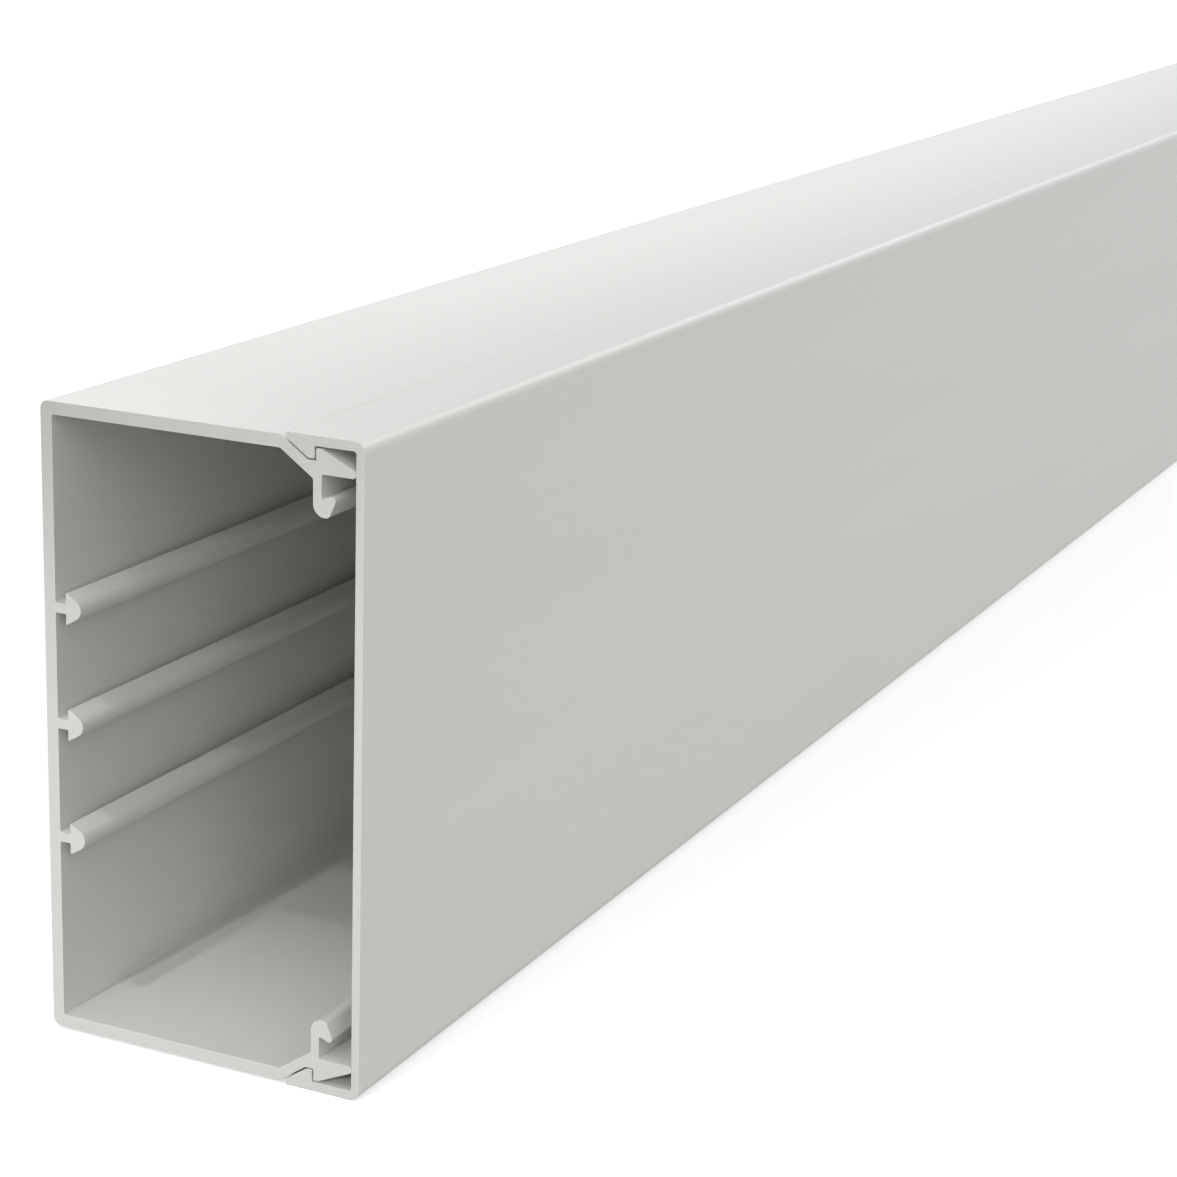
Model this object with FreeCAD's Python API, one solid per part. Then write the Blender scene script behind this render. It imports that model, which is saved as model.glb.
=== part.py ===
"""Two-piece cable trunking: an extruded base with a cover that clips over its front edges.

The section lies in the XZ plane and both pieces run along Y. Millimetres, +Z up. The origin is
under the middle of the trunking, which lies on its narrow side as stock does on a floor: the wall
face looks along -X and the cover's front along +X.
"""
import FreeCAD, Part
import math
import os

Vector = FreeCAD.Vector

# Overall size: section over the cover, and the length the stock is sold in
DEPTH = 60.0
HEIGHT = 110.0
LENGTH = 2000.0

# Walls
BASE_WALL = 2.2
CRANK_WALL = 1.8
COVER_WALL = 1.5
LEG_WALL = 1.65

# Clip between the base's front edges and the cover's legs
SIDE_STEP = 0.5
CLIP_CLEARANCE = 0.3
CATCH_DEPTH = 2.0
RECESS_FLAT = 1.55
CRANK_ANGLE = 35.0
LEG_TIP = 0.95
BARB_LENGTH = 7.1
BARB_CREST = 0.9
BARB_ROOT = 2.05
BARB_NOSE = 1.2

# Hook under each barb, for cable retainers
HOOK_SETBACK = 6.1
HOOK_STEM = 1.55
HOOK_DROP = 6.9
HOOK_CROWN = 2.85
LIP_REACH = 3.15
LIP_RISE = 4.25
GROOVE_RISE = 2.9

# Mounting ribs on the inside of the back wall
RIB_COUNT = 3
RIB_PITCH = 20.0
RIB_NECK = 1.7
RIB_NECK_LENGTH = 2.0
RIB_HEAD = 5.6
RIB_FLANK_ANGLE = 31.0

# Radii of the section's corners
BACK_RADIUS = 1.4
COVER_RADIUS = 2.0
COVER_INNER_RADIUS = 0.5
BEND_RADIUS = 0.5
TIP_RADIUS = 0.4
NOSE_RADIUS = 0.6
CREST_RADIUS = 0.3
HOOK_RADIUS = 2.15
CROWN_RADIUS = 1.0
LIP_RADIUS = 0.7
GROOVE_RADIUS = 0.35
RIB_NOSE_RADIUS = 1.85
INNER_RADIUS = 0.3
EDGE_RADIUS = 0.15


def flank_run(rise, angle):
    """Length along X of a face that climbs by rise at an angle to X."""
    return rise / math.tan(math.radians(angle))


# Clip faces shared by the two pieces: depth from the wall face, and drop below the cover's side
seat_depth = DEPTH - COVER_WALL
catch_depth = seat_depth - BARB_LENGTH
recess_depth = catch_depth - RECESS_FLAT
barb_drop = LEG_WALL + CATCH_DEPTH
recess_drop = barb_drop + CLIP_CLEARANCE
crest_drop = LEG_WALL + CLIP_CLEARANCE
under_drop = recess_drop + BARB_ROOT
bend_depth = recess_depth - flank_run(recess_drop - SIDE_STEP, CRANK_ANGLE)
stem_front = seat_depth - HOOK_SETBACK
stem_back = stem_front - HOOK_STEM


def tangent_lengths(points, radii):
    """How far each corner's rounding reaches along its two sides, kept within those sides."""
    count = len(points)
    reach = []
    for i in range(count):
        back = points[i - 1] - points[i]
        ahead = points[(i + 1) % count] - points[i]
        reach.append(radii[i] / math.tan(back.getAngle(ahead) / 2))
    fitted = list(reach)
    for i in range(count):
        j = (i + 1) % count
        wanted = reach[i] + reach[j]
        side = (points[j] - points[i]).Length
        if wanted > side:
            fitted[i] = min(fitted[i], side * reach[i] / wanted)
            fitted[j] = min(fitted[j], side * reach[j] / wanted)
    return fitted


def rounded_wire(corners):
    """Closed wire through (x, z, radius) corners, with straight sides and tangent arcs."""
    points = [Vector(x, 0, z) for x, z, radius in corners]
    reach = tangent_lengths(points, [radius for x, z, radius in corners])
    count = len(points)
    edges = []
    for i in range(count):
        corner = points[i]
        back = (points[i - 1] - corner).normalize()
        ahead = (points[(i + 1) % count] - corner).normalize()
        first = corner + back * reach[i]
        last = corner + ahead * reach[i]
        half = back.getAngle(ahead) / 2
        radius = reach[i] * math.tan(half)
        middle = corner + (back + ahead).normalize() * (radius / math.sin(half) - radius)
        edges.append(Part.Arc(first, middle, last).toShape())
        side_end = points[(i + 1) % count] - ahead * reach[(i + 1) % count]
        if not side_end.isEqual(last, Part.Precision.confusion()):
            edges.append(Part.LineSegment(last, side_end).toShape())
    return Part.Wire(edges)


def extruded(corners):
    """Solid of the trunking's full length from its section's corners."""
    section = Part.Face(rounded_wire(corners))
    section.translate(Vector(-DEPTH / 2, -LENGTH / 2, 0))
    return section.extrude(Vector(0, LENGTH, 0))


def upper(corners):
    """Section corners at the upper side, from (depth, drop, radius)."""
    return [(depth, HEIGHT - drop, radius) for depth, drop, radius in corners]


def lower(corners):
    """The same corners at the lower side, in the opposite order."""
    return [(depth, drop, radius) for depth, drop, radius in reversed(corners)]


def base_barb():
    """Recess, catch and sloping barb that the cover's leg snaps over."""
    return [
        (bend_depth, SIDE_STEP, BEND_RADIUS),
        (recess_depth, recess_drop, EDGE_RADIUS),
        (catch_depth, recess_drop, EDGE_RADIUS),
        (catch_depth, crest_drop, CREST_RADIUS),
        (catch_depth + BARB_CREST, crest_drop, CREST_RADIUS),
        (seat_depth, under_drop - BARB_NOSE, NOSE_RADIUS),
        (seat_depth, under_drop, NOSE_RADIUS),
    ]


def base_hook():
    """Stem under the barb that ends in a round hook with its lip towards the cover."""
    crown_drop = under_drop + HOOK_DROP
    return [
        (stem_front, under_drop, INNER_RADIUS),
        (stem_front, crown_drop - GROOVE_RISE, GROOVE_RADIUS),
        (stem_front + LIP_REACH, crown_drop - LIP_RISE, LIP_RADIUS),
        (stem_back + HOOK_CROWN, crown_drop, CROWN_RADIUS),
        (stem_back, crown_drop, HOOK_RADIUS),
    ]


def base_crank():
    """Inner face of the slanting wall that carries the barb and hook back to the side wall."""
    angle = math.radians(CRANK_ANGLE)
    inner_drop = SIDE_STEP + BASE_WALL
    inner_bend = bend_depth + (BASE_WALL * math.cos(angle) - CRANK_WALL) / math.sin(angle)
    elbow_drop = inner_drop + (stem_back - inner_bend) * math.tan(angle)
    return [
        (stem_back, elbow_drop, BEND_RADIUS),
        (inner_bend, inner_drop, BEND_RADIUS),
    ]


def base_side():
    """One side of the base, from the outer back corner round the clip to the inner back corner."""
    outer_corner = [(0.0, SIDE_STEP, BACK_RADIUS)]
    inner_corner = [(BASE_WALL, SIDE_STEP + BASE_WALL, INNER_RADIUS)]
    return outer_corner + base_barb() + base_hook() + base_crank() + inner_corner


def mounting_rib(centre):
    """T-shaped rib with a round-nosed head, from its upper to its lower root on the back wall."""
    head_depth = BASE_WALL + RIB_NECK_LENGTH
    point_depth = head_depth + flank_run(RIB_HEAD / 2, RIB_FLANK_ANGLE)
    above = [
        (BASE_WALL, centre + RIB_NECK / 2, INNER_RADIUS),
        (head_depth, centre + RIB_NECK / 2, EDGE_RADIUS),
        (head_depth, centre + RIB_HEAD / 2, EDGE_RADIUS),
    ]
    below = [(depth, 2 * centre - z, radius) for depth, z, radius in reversed(above)]
    return above + [(point_depth, centre, RIB_NOSE_RADIUS)] + below


def trunking_base():
    """Base: back wall with mounting ribs, two side walls and their clip edges."""
    side = base_side()
    ribs = []
    for i in range(RIB_COUNT):
        offset = (RIB_COUNT - 1) / 2 - i
        ribs += mounting_rib(HEIGHT / 2 + offset * RIB_PITCH)
    return extruded(upper(side) + ribs + lower(side))


def cover_leg():
    """One leg of the cover: round front corner, blunt tip, barb and catch face."""
    slant_gap = CLIP_CLEARANCE / math.cos(math.radians(CRANK_ANGLE))
    slant_drop = recess_drop - slant_gap
    tip_depth = recess_depth - flank_run(slant_drop - LEG_TIP, CRANK_ANGLE)
    barb_start = recess_depth - flank_run(slant_drop - barb_drop, CRANK_ANGLE)
    cover_catch = catch_depth - CLIP_CLEARANCE
    return [
        (DEPTH, 0.0, COVER_RADIUS),
        (tip_depth, 0.0, TIP_RADIUS),
        (tip_depth, LEG_TIP, TIP_RADIUS),
        (barb_start, barb_drop, EDGE_RADIUS),
        (cover_catch, barb_drop, EDGE_RADIUS),
        (cover_catch, LEG_WALL, EDGE_RADIUS),
        (seat_depth, LEG_WALL, COVER_INNER_RADIUS),
    ]


def trunking_cover():
    """Cover: flat front between two barbed legs, seated on the noses of the base's barbs."""
    leg = cover_leg()
    return extruded(upper(leg) + lower(leg))


os.makedirs("parts", exist_ok=True)
trunking_base().exportStep("parts/trunking_base.step")
trunking_cover().exportStep("parts/trunking_cover.step")
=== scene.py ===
"""Looks of the cable trunking: both extrusions as fine meshes, in satin light grey rigid PVC.

Metres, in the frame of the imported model: X from the wall face to the cover's front, Y along the
length and away from the end that the camera sees, Z up from the floor. The sections' own sizes are
in millimetres.
"""
import logging
import math
from abc import ABC, abstractmethod
from dataclasses import dataclass
from enum import Enum, IntEnum
from typing import Any

import bmesh
import bpy
from bmesh.types import BMesh, BMEdge, BMVert
from mathutils import Euler, Matrix, Quaternion, Vector


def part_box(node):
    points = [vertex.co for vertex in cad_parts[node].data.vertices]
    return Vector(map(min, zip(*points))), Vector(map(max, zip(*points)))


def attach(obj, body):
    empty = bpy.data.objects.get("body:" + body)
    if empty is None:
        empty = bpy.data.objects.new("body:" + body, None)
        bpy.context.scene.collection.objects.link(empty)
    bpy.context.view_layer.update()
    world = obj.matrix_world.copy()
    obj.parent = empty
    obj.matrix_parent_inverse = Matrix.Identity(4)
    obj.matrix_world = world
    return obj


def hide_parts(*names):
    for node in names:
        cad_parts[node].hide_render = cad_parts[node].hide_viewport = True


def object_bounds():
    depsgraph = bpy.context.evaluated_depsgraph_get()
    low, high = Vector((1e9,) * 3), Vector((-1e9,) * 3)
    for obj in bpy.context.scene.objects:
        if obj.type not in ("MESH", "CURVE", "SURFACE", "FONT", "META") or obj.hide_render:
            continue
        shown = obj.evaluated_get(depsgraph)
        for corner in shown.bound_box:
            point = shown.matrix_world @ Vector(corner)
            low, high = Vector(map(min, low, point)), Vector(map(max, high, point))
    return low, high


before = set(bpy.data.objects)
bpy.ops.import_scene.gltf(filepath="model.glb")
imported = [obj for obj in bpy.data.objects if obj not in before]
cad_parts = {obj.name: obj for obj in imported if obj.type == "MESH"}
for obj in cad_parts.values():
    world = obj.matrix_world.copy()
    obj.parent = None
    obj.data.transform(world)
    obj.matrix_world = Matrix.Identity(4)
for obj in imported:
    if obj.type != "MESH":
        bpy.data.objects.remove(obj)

CAD_BOX: tuple[Vector, Vector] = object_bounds()
MM = 0.001
PVC_IOR = 1.53
# a wave texture of this scale has one band to a unit
WAVE_SCALE = math.tau / 20
# values that make a bevel's profile a circle and give its faces the material beside them
ROUND_PROFILE = 0.5
MATERIAL_BESIDE = -1
LOG = logging.getLogger("trunking")


class Side(Enum):
    """The two long sides of the section, which mirror each other."""

    UPPER = "upper"
    LOWER = "lower"


class Face(IntEnum):
    """Material slots of an extrusion: its drawn skin and its sawn ends."""

    SKIN = 0
    SAWN = 1


class MixSocket(IntEnum):
    """Numbers of the colour sockets of a Mix node: two inputs and the output."""

    FIRST = 6
    SECOND = 7
    RESULT = 2


@dataclass(frozen=True)
class Corner:
    """A corner of a section before it is rounded, in millimetres.

    depth runs from the wall face, and level is a drop below the cover's side or a height above
    the floor, as the method that makes the corner says.
    """

    depth: float
    level: float
    radius: float


def linear(colour: str) -> tuple[float, float, float, float]:
    """Turns an sRGB hex colour into linear light.

    Args:
        colour: the colour as "#RRGGBB".

    Returns:
        Red, green, blue and an alpha of 1.
    """
    parts = [int(colour[i:i + 2], 16) / 255 for i in (1, 3, 5)]
    # the curve of the sRGB standard
    light = [c / 12.92 if c <= 0.04045 else ((c + 0.055) / 1.055) ** 2.4 for c in parts]
    return (light[0], light[1], light[2], 1.0)


def new_material(name: str) -> tuple[bpy.types.Material, bpy.types.NodeTree]:
    """Makes an empty node material.

    Args:
        name: the material's name.

    Returns:
        The material and its cleared node tree.
    """
    material = bpy.data.materials.new(name)
    material.use_nodes = True
    material.node_tree.nodes.clear()
    return material, material.node_tree


def add_node(tree: bpy.types.NodeTree, kind: str, inputs: dict[str | int, Any] | None = None,
             **settings: Any) -> bpy.types.Node:
    """Adds a node with its settings, input values and links.

    Args:
        tree: the node tree that gets the node.
        kind: the node's class name.
        inputs: values, or output sockets to link, by the name or number of the input.
        settings: the node's own properties.

    Returns:
        The new node.
    """
    made = tree.nodes.new(kind)
    for name, value in settings.items():
        setattr(made, name, value)
    for key, value in (inputs or {}).items():
        if isinstance(value, bpy.types.NodeSocket):
            tree.links.new(value, made.inputs[key])
        else:
            made.inputs[key].default_value = value
    return made


def add_blend(tree: bpy.types.NodeTree, share: bpy.types.NodeSocket, first: str,
              second: str) -> bpy.types.NodeSocket:
    """Adds a blend of two colours.

    Args:
        tree: the node tree that gets the blend.
        share: socket with the second colour's share.
        first: the colour at a share of 0, as "#RRGGBB".
        second: the colour at a share of 1, as "#RRGGBB".

    Returns:
        The socket with the blended colour.
    """
    mixed = add_node(tree, "ShaderNodeMix", {
        "Factor": share, MixSocket.FIRST: linear(first), MixSocket.SECOND: linear(second)},
        data_type="RGBA")
    return mixed.outputs[MixSocket.RESULT]


def add_seen_directly(tree: bpy.types.NodeTree) -> bpy.types.NodeSocket:
    """Adds a switch that is 1 for what the camera sees, also in reflections and through glass.

    Args:
        tree: the node tree that gets the switch.

    Returns:
        The socket with the switch's value.
    """
    path = add_node(tree, "ShaderNodeLightPath")
    mirrored = add_node(tree, "ShaderNodeMath", {
        0: path.outputs["Is Glossy Ray"], 1: path.outputs["Is Transmission Ray"]},
        operation="MAXIMUM")
    seen = add_node(tree, "ShaderNodeMath", {
        0: path.outputs["Is Camera Ray"], 1: mirrored.outputs[0]}, operation="MAXIMUM")
    return seen.outputs[0]


def add_pvc(tree: bpy.types.NodeTree, colour: bpy.types.NodeSocket,
            roughness: bpy.types.NodeSocket | float, relief: bpy.types.NodeSocket,
            relief_mm: float) -> None:
    """Ends a material's node tree in rigid PVC with a fine relief.

    Args:
        tree: the node tree that gets the shader and the output.
        colour: socket with the colour.
        roughness: the roughness, or a socket with it.
        relief: socket with the relief's height, from 0 to 1.
        relief_mm: height of the relief.
    """
    bump = add_node(tree, "ShaderNodeBump", {"Distance": relief_mm * MM, "Height": relief})
    shader = add_node(tree, "ShaderNodeBsdfPrincipled", {
        "Base Color": colour, "Roughness": roughness, "IOR": PVC_IOR, "Normal": bump.outputs[0]})
    add_node(tree, "ShaderNodeOutputMaterial", {"Surface": shader.outputs[0]})


@dataclass(frozen=True)
class Streaks:
    """Noise drawn out along Y into streaks of a width and a length, in millimetres."""

    width: float
    length: float
    octaves: float
    grain: float

    def add(self, tree: bpy.types.NodeTree, place: bpy.types.NodeSocket) -> bpy.types.NodeSocket:
        """Adds the streaks to a node tree.

        Args:
            tree: the node tree that gets them.
            place: socket with Object coordinates.

        Returns:
            The socket with the streaks' value, from 0 to 1.
        """
        across, lengthwise = 1 / (self.width * MM), 1 / (self.length * MM)
        drawn_out = add_node(tree, "ShaderNodeMapping", {
            "Vector": place, "Scale": (across, lengthwise, across)})
        noise = add_node(tree, "ShaderNodeTexNoise", {
            "Vector": drawn_out.outputs[0], "Scale": 1.0, "Detail": self.octaves,
            "Roughness": self.grain})
        return noise.outputs["Fac"]


@dataclass(frozen=True)
class ExtrudedPvc:
    """Rigid PVC as it leaves the die and the cooling sizer: satin, with faint lines lengthwise."""

    colour: str = "#D8DAD6"
    flow_colour: str = "#D4D6D2"
    roughness: float = 0.36
    roughness_spread: float = 0.06
    # the melt leaves wide bands that differ a little in tone and gloss
    flow_bands: Streaks = Streaks(width=16.0, length=900.0, octaves=3.0, grain=0.55)
    # scratches of the die's lips, all the way along; real ones lie about 0.2 mm apart, and these
    # are drawn coarser so that they show
    die_lines: Streaks = Streaks(width=0.9, length=700.0, octaves=2.0, grain=0.5)
    die_line_height_mm: float = 0.004

    def material(self) -> bpy.types.Material:
        """Builds the skin's material.

        Returns:
            A material on Object coordinates.
        """
        material, tree = new_material("rigid_pvc_extruded_skin")
        place = add_node(tree, "ShaderNodeTexCoord").outputs["Object"]
        flow = self.flow_bands.add(tree, place)
        gloss = add_node(tree, "ShaderNodeMapRange", {
            "Value": flow, "To Min": self.roughness - self.roughness_spread / 2,
            "To Max": self.roughness + self.roughness_spread / 2})
        add_pvc(tree, add_blend(tree, flow, self.colour, self.flow_colour), gloss.outputs[0],
                self.die_lines.add(tree, place), self.die_line_height_mm)
        return material


@dataclass(frozen=True)
class SawnPvc:
    """The same PVC where a saw cut it: matt, a little greyer, with the blade's faint marks."""

    colour: str = "#CDCFCB"
    mark_colour: str = "#C9CBC7"
    roughness: float = 0.55
    # the blade's marks run slantwise over the end; a fine saw leaves them about 0.1 mm apart, and
    # they are drawn coarser so that they show
    mark_mm: float = 0.45
    mark_height_mm: float = 0.01
    mark_turn_deg: float = 24.0
    mark_waver: float = 2.5
    waver_octaves: float = 2.0
    waver_scale: float = 0.6

    def material(self) -> bpy.types.Material:
        """Builds the sawn ends' material.

        Returns:
            A material on Object coordinates.
        """
        material, tree = new_material("rigid_pvc_sawn_end")
        place = add_node(tree, "ShaderNodeTexCoord").outputs["Object"]
        turned = add_node(tree, "ShaderNodeMapping", {
            "Vector": place, "Rotation": Euler((0.0, math.radians(self.mark_turn_deg), 0.0)),
            "Scale": (1 / (self.mark_mm * MM),) * 3})
        wave = add_node(tree, "ShaderNodeTexWave", {
            "Vector": turned.outputs[0], "Scale": WAVE_SCALE, "Distortion": self.mark_waver,
            "Detail": self.waver_octaves, "Detail Scale": self.waver_scale},
            wave_type="BANDS", bands_direction="Z")
        marks = wave.outputs["Fac"]
        add_pvc(tree, add_blend(tree, marks, self.mark_colour, self.colour), self.roughness,
                marks, self.mark_height_mm)
        return material


@dataclass
class SectionPen:
    """Draws a closed outline with round corners into a bmesh, stroke by stroke."""

    mesh: BMesh
    plane: float
    arc_step: float = math.radians(6.0)
    least_steps: int = 2
    weld_mm: float = 0.001

    def point(self, corner: Corner) -> Vector:
        """Place of a corner, whose level is a height, in the plane of the section."""
        low = CAD_BOX[0]
        return Vector((low.x + corner.depth * MM, self.plane, low.z + corner.level * MM))

    def straight(self, tip: BMVert, end: Vector) -> BMVert:
        """Draws a straight side.

        Args:
            tip: the vertex that the outline has reached.
            end: where the side ends.

        Returns:
            The new tip.
        """
        grown = bmesh.ops.extrude_vert_indiv(self.mesh, verts=[tip])["verts"]
        bmesh.ops.translate(self.mesh, verts=grown, vec=end - tip.co)
        return grown[0]

    def bend(self, tip: BMVert, centre: Vector, end: Vector) -> BMVert:
        """Draws a round corner.

        Args:
            tip: the vertex that the outline has reached.
            centre: the arc's centre.
            end: where the arc ends.

        Returns:
            The new tip.
        """
        before, after = tip.co - centre, end - centre
        turn = math.atan2(before.cross(after).y, before.dot(after))
        steps = max(self.least_steps, round(abs(turn) / self.arc_step))
        spun = bmesh.ops.spin(self.mesh, geom=[tip], cent=centre, axis=(0.0, 1.0, 0.0), angle=turn,
                              steps=steps, use_merge=False)
        return next(v for v in spun["geom_last"] if isinstance(v, BMVert))

    def draw(self, corners: list[Corner]) -> None:
        """Draws the whole outline and fills it with one face.

        Args:
            corners: the outline's corners in order, with heights as their levels.
        """
        points = [self.point(corner) for corner in corners]
        arcs = []
        for i, corner in enumerate(corners):
            back = (points[i - 1] - points[i]).normalized()
            ahead = (points[(i + 1) % len(points)] - points[i]).normalized()
            half = back.angle(ahead) / 2
            reach = corner.radius * MM / math.tan(half)
            middle = (back + ahead).normalized() * (corner.radius * MM / math.sin(half))
            arcs.append((points[i] + back * reach, points[i] + middle, points[i] + ahead * reach))
        tip = self.mesh.verts.new(arcs[0][0])
        for i, (_, centre, last) in enumerate(arcs):
            tip = self.bend(tip, centre, last)
            tip = self.straight(tip, arcs[(i + 1) % len(arcs)][0])
        bmesh.ops.remove_doubles(self.mesh, verts=self.mesh.verts[:], dist=self.weld_mm * MM)
        bmesh.ops.contextual_create(self.mesh, geom=self.mesh.edges[:])


@dataclass(frozen=True)
class Clip:
    """Section of the clip that the base's edges and the cover's legs share, in millimetres."""

    depth: float
    height: float
    base_wall: float = 2.2
    crank_wall: float = 1.8
    cover_wall: float = 1.5
    leg_wall: float = 1.65
    side_step: float = 0.5
    clearance: float = 0.3
    catch: float = 2.0
    recess_flat: float = 1.55
    crank_angle: float = math.radians(35.0)
    barb_length: float = 7.1
    barb_root: float = 2.05
    edge_radius: float = 0.15
    inner_radius: float = 0.3
    bend_radius: float = 0.5

    @property
    def seat_depth(self) -> float:
        """Depth of the cover's inner face, where the barbs' noses seat."""
        return self.depth - self.cover_wall

    @property
    def catch_depth(self) -> float:
        """Depth of the base's catch faces."""
        return self.seat_depth - self.barb_length

    @property
    def recess_depth(self) -> float:
        """Depth at which the slanting wall meets the recess."""
        return self.catch_depth - self.recess_flat

    @property
    def barb_drop(self) -> float:
        """Drop of the cover's barb below the side."""
        return self.leg_wall + self.catch

    @property
    def recess_drop(self) -> float:
        """Drop of the recess that takes the cover's barb."""
        return self.barb_drop + self.clearance

    @property
    def under_drop(self) -> float:
        """Drop of the barb's inner face."""
        return self.recess_drop + self.barb_root

    @property
    def bend_depth(self) -> float:
        """Depth at which the side wall bends inwards."""
        return self.recess_depth - (self.recess_drop - self.side_step) / math.tan(self.crank_angle)

    def on_side(self, corners: list[Corner], side: Side) -> list[Corner]:
        """Turns drops into heights on one side, in the order that runs round the section.

        Args:
            corners: corners whose levels are drops below the side.
            side: the side that gets them.

        Returns:
            Corners whose levels are heights.
        """
        if side is Side.UPPER:
            return [Corner(c.depth, self.height - c.level, c.radius) for c in corners]
        return list(reversed(corners))


@dataclass
class Extrusion(ABC):
    """A piece of the trunking: a section drawn out along Y and sawn to length."""

    clip: Clip
    node: str = ""
    body: str = ""
    name: str = ""
    slot: str = "light_grey_pvc"
    deburr_mm: float = 0.06
    deburr_segments: int = 2
    # largest difference in Y along an edge of a sawn end
    end_slack_mm: float = 0.5
    # a face whose normal has a larger share of Y belongs to a sawn end
    skin_lean: float = 0.1
    # how much more a large face says about the shading than a small one
    flat_weight: int = 100

    @abstractmethod
    def outline(self) -> list[Corner]:
        """Gives the corners of the section, whose levels are heights."""

    def sawn_edges(self, mesh: BMesh) -> list[BMEdge]:
        """Finds the edges round the two sawn ends."""
        slack = self.end_slack_mm * MM
        return [e for e in mesh.edges if abs(e.verts[0].co.y - e.verts[1].co.y) < slack]

    def build(self) -> bpy.types.Object:
        """Draws the section, extrudes it to the node's length and breaks its sawn edges.

        Returns:
            The piece, at the origin, with its place in its mesh.
        """
        low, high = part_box(self.node)
        mesh = bmesh.new()
        SectionPen(mesh, low.y).draw(self.outline())
        drawn = bmesh.ops.extrude_face_region(mesh, geom=mesh.faces[:])["geom"]
        bmesh.ops.translate(mesh, verts=[v for v in drawn if isinstance(v, BMVert)],
                            vec=(0.0, high.y - low.y, 0.0))
        bmesh.ops.recalc_face_normals(mesh, faces=mesh.faces[:])
        bmesh.ops.bevel(mesh, geom=self.sawn_edges(mesh), offset=self.deburr_mm * MM,
                        offset_type="OFFSET", segments=self.deburr_segments, profile=ROUND_PROFILE,
                        affect="EDGES", material=MATERIAL_BESIDE, clamp_overlap=False)
        mesh.normal_update()
        for face in mesh.faces:
            face.smooth = True
            face.material_index = Face.SAWN if abs(face.normal.y) > self.skin_lean else Face.SKIN
        data = bpy.data.meshes.new(self.name)
        mesh.to_mesh(data)
        mesh.free()
        piece = bpy.data.objects.new(self.name, data)
        bpy.context.scene.collection.objects.link(piece)
        return piece

    def dress(self, piece: bpy.types.Object, skin: bpy.types.Material,
              sawn: bpy.types.Material) -> None:
        """Gives the piece its finishes and its place in the frame.

        Args:
            piece: the built piece.
            skin: finish of the drawn faces.
            sawn: finish of the two ends.
        """
        piece.data.materials.append(skin)
        piece.data.materials.append(sawn)
        # flat walls keep flat shading beside their round corners
        shading = piece.modifiers.new("flat_walls", "WEIGHTED_NORMAL")
        shading.keep_sharp = True
        shading.weight = self.flat_weight
        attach(piece, self.body)
        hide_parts(self.node)
        LOG.info("%s: %d faces, rides on %s", piece.name, len(piece.data.polygons), self.body)


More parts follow.
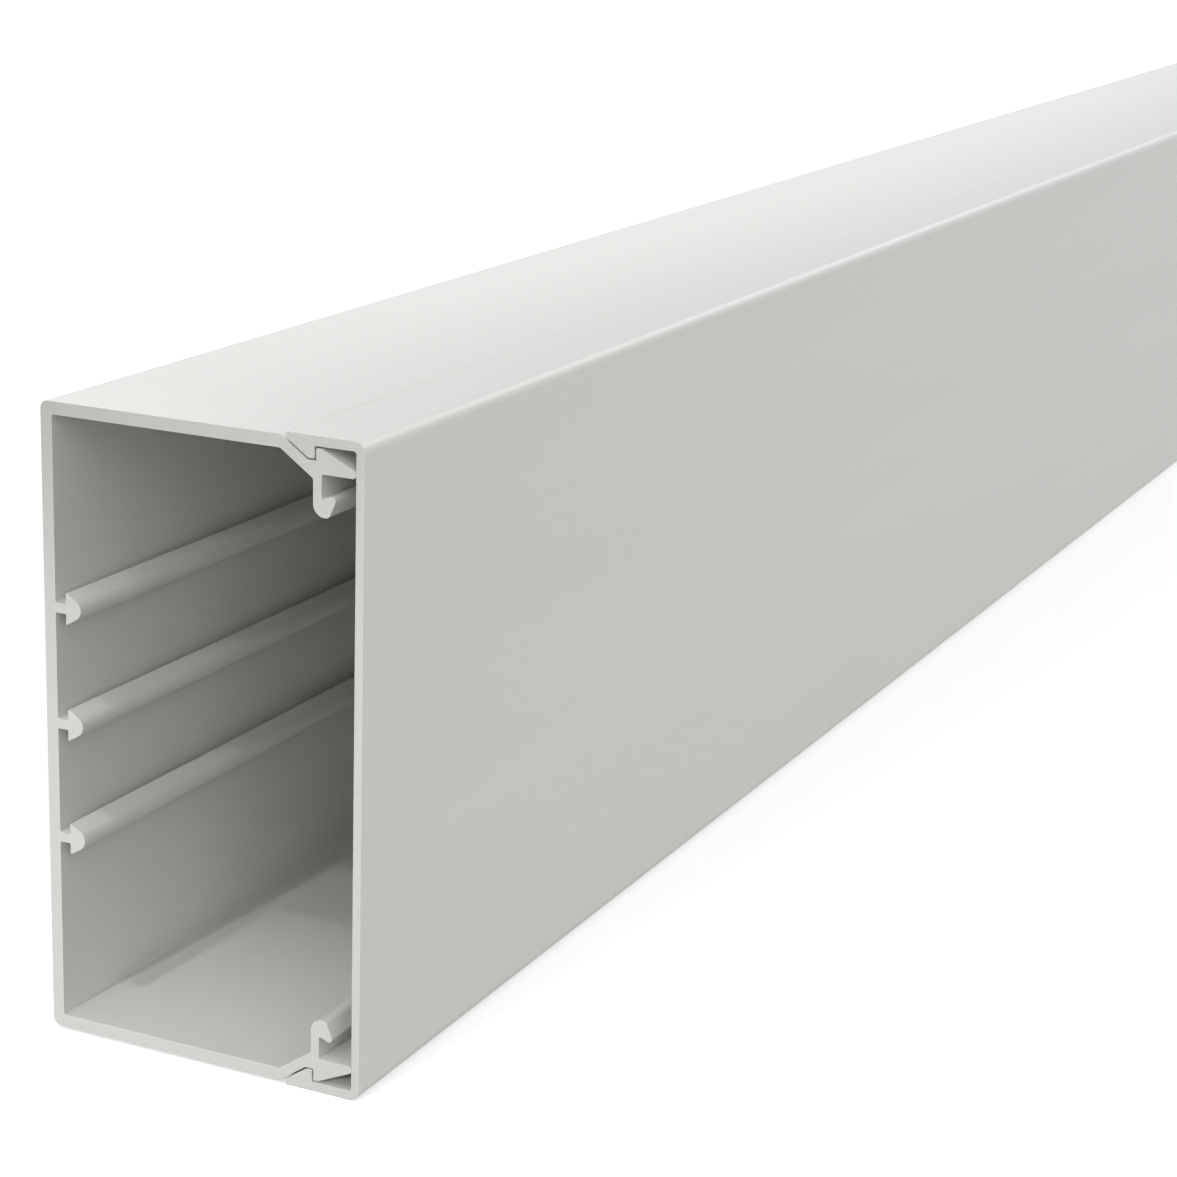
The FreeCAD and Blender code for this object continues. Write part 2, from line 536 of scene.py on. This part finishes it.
@dataclass
class TrunkingBase(Extrusion):
    """The base: a back wall with T-shaped ribs, and side walls that end in a barb and a hook."""

    node: str = "trunking_base"
    body: str = "base"
    name: str = "trunking_base_profile"
    back_radius: float = 1.4
    crest: float = 0.9
    crest_radius: float = 0.3
    nose: float = 1.2
    nose_radius: float = 0.6
    hook_setback: float = 6.1
    hook_stem: float = 1.55
    hook_drop: float = 6.9
    hook_crown: float = 2.85
    hook_radius: float = 2.15
    crown_radius: float = 1.0
    lip_reach: float = 3.15
    lip_rise: float = 4.25
    lip_radius: float = 0.7
    groove_rise: float = 2.9
    groove_radius: float = 0.35
    rib_count: int = 3
    rib_pitch: float = 20.0
    rib_neck: float = 1.7
    rib_neck_length: float = 2.0
    rib_head: float = 5.6
    rib_flank_angle: float = math.radians(31.0)
    rib_nose_radius: float = 1.85

    def barb(self) -> list[Corner]:
        """Gives the slanting wall's outer face, the recess, the catch and the sloping barb.

        Returns:
            Corners whose levels are drops below the side.
        """
        clip = self.clip
        crest_drop = clip.leg_wall + clip.clearance
        return [
            Corner(clip.bend_depth, clip.side_step, clip.bend_radius),
            Corner(clip.recess_depth, clip.recess_drop, clip.edge_radius),
            Corner(clip.catch_depth, clip.recess_drop, clip.edge_radius),
            Corner(clip.catch_depth, crest_drop, self.crest_radius),
            Corner(clip.catch_depth + self.crest, crest_drop, self.crest_radius),
            Corner(clip.seat_depth, clip.under_drop - self.nose, self.nose_radius),
            Corner(clip.seat_depth, clip.under_drop, self.nose_radius),
        ]

    def hook(self) -> list[Corner]:
        """Gives the hook under the barb and the slanting wall's inner face.

        Returns:
            Corners whose levels are drops below the side.
        """
        clip = self.clip
        front = clip.seat_depth - self.hook_setback
        back = front - self.hook_stem
        crown = clip.under_drop + self.hook_drop
        inner_drop = clip.side_step + clip.base_wall
        wall_gain = clip.base_wall * math.cos(clip.crank_angle) - clip.crank_wall
        inner_bend = clip.bend_depth + wall_gain / math.sin(clip.crank_angle)
        elbow_drop = inner_drop + (back - inner_bend) * math.tan(clip.crank_angle)
        return [
            Corner(front, clip.under_drop, clip.inner_radius),
            Corner(front, crown - self.groove_rise, self.groove_radius),
            Corner(front + self.lip_reach, crown - self.lip_rise, self.lip_radius),
            Corner(back + self.hook_crown, crown, self.crown_radius),
            Corner(back, crown, self.hook_radius),
            Corner(back, elbow_drop, clip.bend_radius),
            Corner(inner_bend, inner_drop, clip.bend_radius),
        ]

    def rib(self, centre: float) -> list[Corner]:
        """Gives one mounting rib, from its upper to its lower root.

        Args:
            centre: height of the rib's middle.

        Returns:
            Corners whose levels are heights.
        """
        clip = self.clip
        head = clip.base_wall + self.rib_neck_length
        point = head + self.rib_head / 2 / math.tan(self.rib_flank_angle)
        above = [
            Corner(clip.base_wall, centre + self.rib_neck / 2, clip.inner_radius),
            Corner(head, centre + self.rib_neck / 2, clip.edge_radius),
            Corner(head, centre + self.rib_head / 2, clip.edge_radius),
        ]
        below = [Corner(c.depth, 2 * centre - c.level, c.radius) for c in reversed(above)]
        return above + [Corner(point, centre, self.rib_nose_radius)] + below

    def outline(self) -> list[Corner]:
        """Gives the base's section.

        Returns:
            Corners whose levels are heights.
        """
        clip = self.clip
        side = [Corner(0.0, clip.side_step, self.back_radius)] + self.barb() + self.hook()
        side.append(Corner(clip.base_wall, clip.side_step + clip.base_wall, clip.inner_radius))
        ribs: list[Corner] = []
        for i in range(self.rib_count):
            offset = (self.rib_count - 1) / 2 - i
            ribs += self.rib(clip.height / 2 + offset * self.rib_pitch)
        return clip.on_side(side, Side.UPPER) + ribs + clip.on_side(side, Side.LOWER)


@dataclass
class TrunkingCover(Extrusion):
    """The cover: a flat front between two legs whose barbs clip into the base's recesses."""

    node: str = "trunking_cover"
    body: str = "cover"
    name: str = "trunking_cover_profile"
    front_radius: float = 2.0
    inner_radius: float = 0.5
    leg_tip: float = 0.95
    tip_radius: float = 0.4

    def outline(self) -> list[Corner]:
        """Gives the cover's section.

        Returns:
            Corners whose levels are heights.
        """
        clip = self.clip
        slope = math.tan(clip.crank_angle)
        slant_drop = clip.recess_drop - clip.clearance / math.cos(clip.crank_angle)
        tip_depth = clip.recess_depth - (slant_drop - self.leg_tip) / slope
        barb_depth = clip.recess_depth - (slant_drop - clip.barb_drop) / slope
        catch_depth = clip.catch_depth - clip.clearance
        leg = [
            Corner(clip.depth, 0.0, self.front_radius),
            Corner(tip_depth, 0.0, self.tip_radius),
            Corner(tip_depth, self.leg_tip, self.tip_radius),
            Corner(barb_depth, clip.barb_drop, clip.edge_radius),
            Corner(catch_depth, clip.barb_drop, clip.edge_radius),
            Corner(catch_depth, clip.leg_wall, clip.edge_radius),
            Corner(clip.seat_depth, clip.leg_wall, self.inner_radius),
        ]
        return clip.on_side(leg, Side.UPPER) + clip.on_side(leg, Side.LOWER)


@dataclass(frozen=True)
class Lamp(ABC):
    """A studio lamp that hangs at a place and looks at a point, both in metres."""

    name: str
    place: tuple[float, float, float]
    aim: tuple[float, float, float]
    watts: float

    @property
    def beam(self) -> Vector:
        """The way from the lamp to the point that it looks at."""
        return Vector(self.aim) - Vector(self.place)

    @abstractmethod
    def hang(self) -> None:
        """Adds the lamp to the scene."""

    def add(self, kind: str, tilt_deg: float = 0.0) -> bpy.types.Object:
        """Adds a lamp of a kind, whose light still has its default shape.

        Args:
            kind: the type of the light.
            tilt_deg: how far the lamp is turned about its beam.

        Returns:
            The lamp object.
        """
        light = bpy.data.lights.new(self.name, kind)
        light.energy = self.watts
        lamp = bpy.data.objects.new(self.name, light)
        lamp.location = self.place
        tilt = Quaternion((0.0, 0.0, 1.0), math.radians(tilt_deg))
        lamp.rotation_euler = (self.beam.to_track_quat("-Z", "Y") @ tilt).to_euler()
        bpy.context.scene.collection.objects.link(lamp)
        return lamp


@dataclass(frozen=True)
class Softbox(Lamp):
    """A lamp behind a rectangular cloth, with its sizes in metres."""

    width: float
    height: float

    def hang(self) -> None:
        """Adds the softbox to the scene."""
        light = self.add("AREA").data
        light.shape = "RECTANGLE"
        light.size = self.width
        light.size_y = self.height


@dataclass(frozen=True)
class OvalSpot(Lamp):
    """A spot whose oval pool of light fades towards its rim, with its sizes in metres."""

    pool_length: float
    pool_width: float
    tilt_deg: float = 0.0
    rim_fade: float = 1.0
    bulb_radius: float = 0.02

    def hang(self) -> None:
        """Adds the spot to the scene."""
        spot = self.add("SPOT", self.tilt_deg)
        spot.scale.x = self.pool_length / self.pool_width
        spot.data.spot_size = 2 * math.atan(self.pool_width / 2 / self.beam.length)
        spot.data.spot_blend = self.rim_fade
        spot.data.shadow_soft_size = self.bulb_radius


@dataclass(frozen=True)
class Studio:
    """Plain pale floor and soft light, before a white background.

    The room lights the trunking with wall_light up to ceiling_from, the sine of an angle above the
    floor. From there its light fades to ceiling_light overhead.
    """

    floor_size: float = 60.0
    floor_colour: str = "#EDEDEB"
    bounce_colour: str = "#8E8E8C"
    floor_glow: float = 0.25
    glow_strength: float = 2.0
    background_colour: str = "#FFFFFF"
    background_light: float = 1.0
    wall_light: float = 1.04
    ceiling_light: float = 0.5
    ceiling_from: float = 0.55
    lamps: tuple[Lamp, ...] = (
        # for the cover's front
        Softbox("cover_softbox", place=(1.4, -2.6, 0.75), aim=(0.0, -0.8, 0.05), watts=4.9,
                width=1.0, height=1.0),
        # for the near end and what is seen of the inside
        Softbox("key_softbox", place=(0.598, -2.074, 1.333), aim=(0.0, -0.95, 0.06), watts=1.44,
                width=0.8, height=0.8),
        # for the highlight along the rounded upper front edge
        Softbox("far_softbox", place=(0.97, 3.53, 2.22), aim=(0.03, -0.85, 0.11), watts=21.0,
                width=2.4, height=0.9),
        # for the sawn end, more in its lower half
        OvalSpot("end_spot", place=(-0.115, -2.404, 0.551), aim=(0.008, -1.0, 0.038), watts=30.5,
                 pool_length=0.29, pool_width=0.17, tilt_deg=32.0),
        # for the upper side, more towards its back edge
        OvalSpot("top_spot", place=(-0.5, -0.7, 1.9), aim=(-0.05, -0.7, 0.11), watts=33.8,
                 pool_length=1.6, pool_width=0.15),
        # for the first of the inside, low down
        OvalSpot("sill_spot", place=(-0.045, -1.703, 1.364), aim=(-0.008, -1.0, 0.04), watts=15.9,
                 pool_length=0.1, pool_width=0.09),
    )

    def lay_floor(self) -> None:
        """Lays the floor: white where light reaches it, and greyer in the trunking's shadow."""
        mesh = bmesh.new()
        bmesh.ops.create_grid(mesh, x_segments=1, y_segments=1, size=self.floor_size / 2)
        data = bpy.data.meshes.new("floor")
        mesh.to_mesh(data)
        mesh.free()
        floor = bpy.data.objects.new("floor", data)
        bpy.context.scene.collection.objects.link(floor)
        material, tree = new_material("pale_floor")
        seen = add_seen_directly(tree)
        # pale to the eye, but the light that it throws back up at the trunking is dimmer
        tint = add_blend(tree, seen, self.bounce_colour, self.floor_colour)
        paint = add_node(tree, "ShaderNodeBsdfDiffuse", {"Color": tint})
        glow = add_node(tree, "ShaderNodeEmission", {"Strength": self.glow_strength})
        share = add_node(tree, "ShaderNodeMath", {0: seen, 1: self.floor_glow},
                         operation="MULTIPLY")
        mixed = add_node(tree, "ShaderNodeMixShader", {
            0: share.outputs[0], 1: paint.outputs[0], 2: glow.outputs[0]})
        add_node(tree, "ShaderNodeOutputMaterial", {"Surface": mixed.outputs[0]})
        data.materials.append(material)

    def light_world(self) -> None:
        """Sets the white background and the light of the room."""
        world = bpy.data.worlds.new("studio")
        world.use_nodes = True
        tree = world.node_tree
        tree.nodes.clear()
        # the walls light the trunking more than the ceiling does
        place = add_node(tree, "ShaderNodeTexCoord")
        height = add_node(tree, "ShaderNodeSeparateXYZ", {0: place.outputs["Generated"]})
        room = add_node(tree, "ShaderNodeMapRange", {
            "Value": height.outputs["Z"], "From Min": self.ceiling_from,
            "To Min": self.wall_light, "To Max": self.ceiling_light})
        level = add_node(tree, "ShaderNodeMix", {
            "Factor": add_seen_directly(tree), "A": room.outputs[0], "B": self.background_light})
        background = add_node(tree, "ShaderNodeBackground", {
            "Color": linear(self.background_colour), "Strength": level.outputs[0]})
        add_node(tree, "ShaderNodeOutputWorld", {"Surface": background.outputs[0]})
        bpy.context.scene.world = world

    def set_up(self) -> None:
        """Lays the floor, lights the world and hangs the lamps."""
        self.lay_floor()
        self.light_world()
        for lamp in self.lamps:
            lamp.hang()
        bpy.context.scene.view_settings.view_transform = "Standard"


@dataclass(frozen=True)
class PhotoCamera:
    """Camera at the photo's place: before the near end, on the cover's side, a little above."""

    from_near_end: tuple[float, float, float] = (0.2413, -0.3704, 0.2093)
    azimuth_deg: float = 25.041
    elevation_deg: float = 15.917
    roll_deg: float = -1.824
    lens_mm: float = 87.709
    sensor_mm: float = 36.0
    nearest: float = 0.01

    def place(self) -> bpy.types.Object:
        """Adds the camera and makes it the scene's own.

        Returns:
            The camera object.
        """
        turn = math.radians(self.azimuth_deg)
        rise = math.radians(self.elevation_deg)
        roll = math.radians(self.roll_deg)
        level = Vector((math.cos(turn), math.sin(turn), 0.0))
        ahead = Vector((-math.sin(turn) * math.cos(rise), math.cos(turn) * math.cos(rise),
                        -math.sin(rise)))
        up = level.cross(ahead) * math.cos(roll) + level * math.sin(roll)
        lens = bpy.data.cameras.new("photo_camera")
        lens.lens = self.lens_mm
        lens.sensor_width = self.sensor_mm
        lens.clip_start = self.nearest
        camera = bpy.data.objects.new("photo_camera", lens)
        near_end = Vector((0.0, CAD_BOX[0].y, CAD_BOX[0].z))
        basis = Matrix((ahead.cross(up), up, -ahead)).transposed().to_4x4()
        camera.matrix_world = Matrix.Translation(near_end + Vector(self.from_near_end)) @ basis
        bpy.context.scene.collection.objects.link(camera)
        bpy.context.scene.camera = camera
        return camera


def main() -> None:
    """Builds and dresses both extrusions, then sets up the studio and the camera."""
    logging.basicConfig(level=logging.INFO, format="%(name)s: %(message)s")
    extent = (CAD_BOX[1] - CAD_BOX[0]) / MM
    clip = Clip(depth=extent.x, height=extent.z)
    skin = ExtrudedPvc().material()
    sawn = SawnPvc().material()
    for extrusion in (TrunkingBase(clip), TrunkingCover(clip)):
        extrusion.dress(extrusion.build(), skin, sawn)
    Studio().set_up()
    camera = PhotoCamera().place()
    LOG.info("camera at %s", [round(c, 4) for c in camera.location])


if __name__ == "__main__":
    main()
